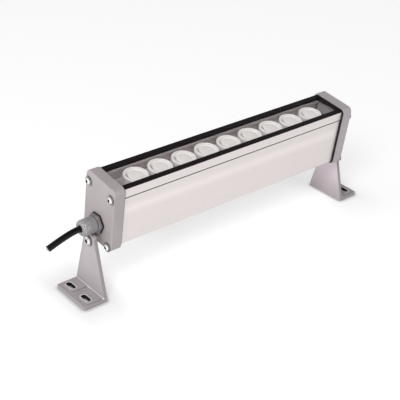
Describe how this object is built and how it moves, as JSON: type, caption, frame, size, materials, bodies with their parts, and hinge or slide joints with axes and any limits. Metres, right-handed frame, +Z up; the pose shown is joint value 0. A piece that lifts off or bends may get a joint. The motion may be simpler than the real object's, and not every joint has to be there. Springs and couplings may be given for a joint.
{
  "type": "outdoor wall washer light",
  "caption": "Outdoor wall washer light: silver bar housing with a row of lenses under glass, grey end caps and two tilting foot brackets.",
  "frame": {"origin": "centre of the bounding box without the cable, on the plane that the two feet stand on", "axes": "+X along the light towards the end without the cable, +Z up out of the feet, -Y towards the front that the head leans to"},
  "size_m": [0.4153, 0.0566, 0.1314],
  "materials": {
    "anodised_shell": "satin",
    "cover_glass": "clear",
    "black_rail": "satin",
    "seal_grey": "matte",
    "black_rubber": "matte",
    "board": "matte",
    "stainless": "polished",
    "diode": "gloss",
    "lens_cup": "satin",
    "lens_plastic": "gloss",
    "driver_case": "matte",
    "lead_insulation": "satin",
    "cast_grey": "satin",
    "cable_jacket": "satin",
    "bracket_grey": "satin",
    "nylon": "matte"
  },
  "bodies": {
    "base": {"left_bracket": "bracket_grey", "right_bracket": "bracket_grey"},
    "head": {"housing": "anodised_shell", "glass_cover": "cover_glass", "front_rail": "black_rail", "rear_rail": "black_rail", "glass_seal": "seal_grey", "end_seals": "black_rubber", "circuit_board": "board", "board_screws": "stainless", "led_emitters": "diode", "lens_holders": "lens_cup", "lenses": "lens_plastic", "driver_module": "driver_case", "driver_pad": "seal_grey", "supply_leads": "lead_insulation", "led_leads": "lead_insulation", "left_end_cap": "cast_grey", "right_end_cap": "cast_grey", "left_cap_gasket": "black_rubber", "right_cap_gasket": "black_rubber", "left_cap_screws": "stainless", "right_cap_screws": "stainless", "left_cap_washers": "stainless", "right_cap_washers": "stainless", "gland_gasket": "black_rubber", "gland_body": "cast_grey", "gland_seal": "black_rubber", "gland_nut": "cast_grey", "gland_locknut": "stainless", "cable": "cable_jacket", "left_pivot_bolt": "stainless", "right_pivot_bolt": "stainless", "left_pivot_washer": "stainless", "right_pivot_washer": "stainless", "left_friction_washer": "nylon", "right_friction_washer": "nylon"}
  },
  "joints": [
    {"name": "head_tilt", "type": "hinge", "parent": "base", "child": "head", "pos_m": [0, 0.00325, 0.061], "axis": [1, 0, 0], "range_deg": [-86, 72]}
  ]
}
